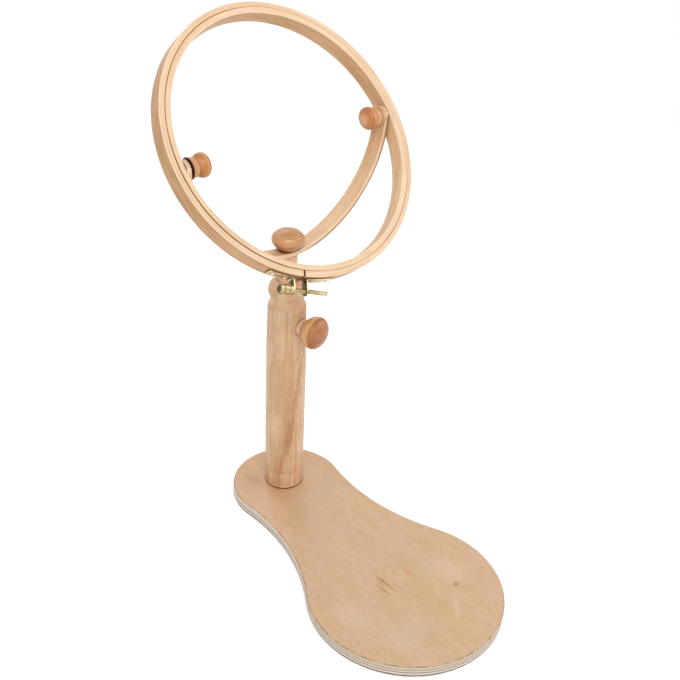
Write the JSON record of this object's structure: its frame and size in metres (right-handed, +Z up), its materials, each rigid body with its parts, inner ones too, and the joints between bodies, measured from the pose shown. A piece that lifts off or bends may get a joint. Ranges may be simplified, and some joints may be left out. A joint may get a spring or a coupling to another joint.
{
  "type": "embroidery hoop stand",
  "caption": "Seat-board stand that holds a round wooden embroidery hoop on a sliding post, with a swivelling yoke, a tilting hoop and wooden clamping knobs.",
  "frame": {"origin": "on the underside of the seat board, below the axis of the post", "axes": "+Z up along the post, the board's large end and the stitcher towards -Y, the hoop's tilt axis near X"},
  "size_m": [0.2504, 0.3739, 0.4806],
  "materials": {
    "plywood": "satin varnish",
    "beech": "satin varnish",
    "hoop_beech": "smooth sanded",
    "lacquered_beech": "gloss lacquer",
    "brass": "bright",
    "steel": "zinc plated"
  },
  "bodies": {
    "stand": {"seat_board": "plywood", "base_screw_left": "steel", "base_screw_right": "steel", "outer_post": "beech", "clamp_insert": "brass"},
    "clamp": {"clamp_knob": "lacquered_beech", "clamp_stud": "steel"},
    "rod": {"inner_rod": "beech", "yoke_stud": "steel"},
    "yoke_arm": {"yoke": "hoop_beech"},
    "yoke_knob_turn": {"yoke_knob": "lacquered_beech", "yoke_knob_insert": "brass"},
    "hoop": {"inner_hoop": "hoop_beech", "pivot_bolt_left": "steel", "pivot_bolt_right": "steel"},
    "pivot_knob_left_turn": {"pivot_knob_left": "lacquered_beech", "pivot_knob_left_insert": "brass"},
    "pivot_knob_right_turn": {"pivot_knob_right": "lacquered_beech", "pivot_knob_right_insert": "brass"},
    "outer_ring": {"outer_hoop": "hoop_beech", "closure_bracket_left": "brass", "closure_bracket_right": "brass", "closure_tack_left_1": "brass", "closure_tack_left_2": "brass", "closure_tack_right_1": "brass", "closure_tack_right_2": "brass"},
    "closure_screw_turn": {"closure_screw": "brass"}
  },
  "joints": [
    {"name": "post_slide", "type": "slide", "parent": "stand", "child": "rod", "axis": [0, 0, 1], "range_m": [-0.008, 0.14]},
    {"name": "post_clamp", "type": "hinge", "parent": "stand", "child": "clamp", "pos_m": [0, 0, 0.201], "axis": [0.2756, -0.9613, 0], "continuous": true},
    {"name": "yoke_swivel", "type": "hinge", "parent": "rod", "child": "yoke_arm", "pos_m": [0, 0, 0.272], "axis": [0, 0, 1], "continuous": true},
    {"name": "yoke_clamp", "type": "hinge", "parent": "rod", "child": "yoke_knob_turn", "pos_m": [0, 0, 0.279], "axis": [0, 0, 1], "continuous": true},
    {"name": "hoop_tilt", "type": "hinge", "parent": "yoke_arm", "child": "hoop", "pos_m": [0, 0, 0.3803], "axis": [0.9942, 0.108, 0], "range_deg": [-130, 30]},
    {"name": "pivot_clamp_left", "type": "hinge", "parent": "hoop", "child": "pivot_knob_left_turn", "pos_m": [0, 0, 0.3803], "axis": [0.9942, 0.108, 0], "continuous": true},
    {"name": "pivot_clamp_right", "type": "hinge", "parent": "hoop", "child": "pivot_knob_right_turn", "pos_m": [0, 0, 0.3803], "axis": [0.9942, 0.108, 0], "continuous": true},
    {"name": "hoop_lift", "type": "slide", "parent": "hoop", "child": "outer_ring", "axis": [0.0826, -0.7605, 0.6441], "range_m": [0, 0.04]},
    {"name": "closure_turn", "type": "hinge", "parent": "outer_ring", "child": "closure_screw_turn", "pos_m": [-0.04662, -0.08514, 0.28576], "axis": [0.9353, -0.164, -0.3136], "continuous": true}
  ]
}
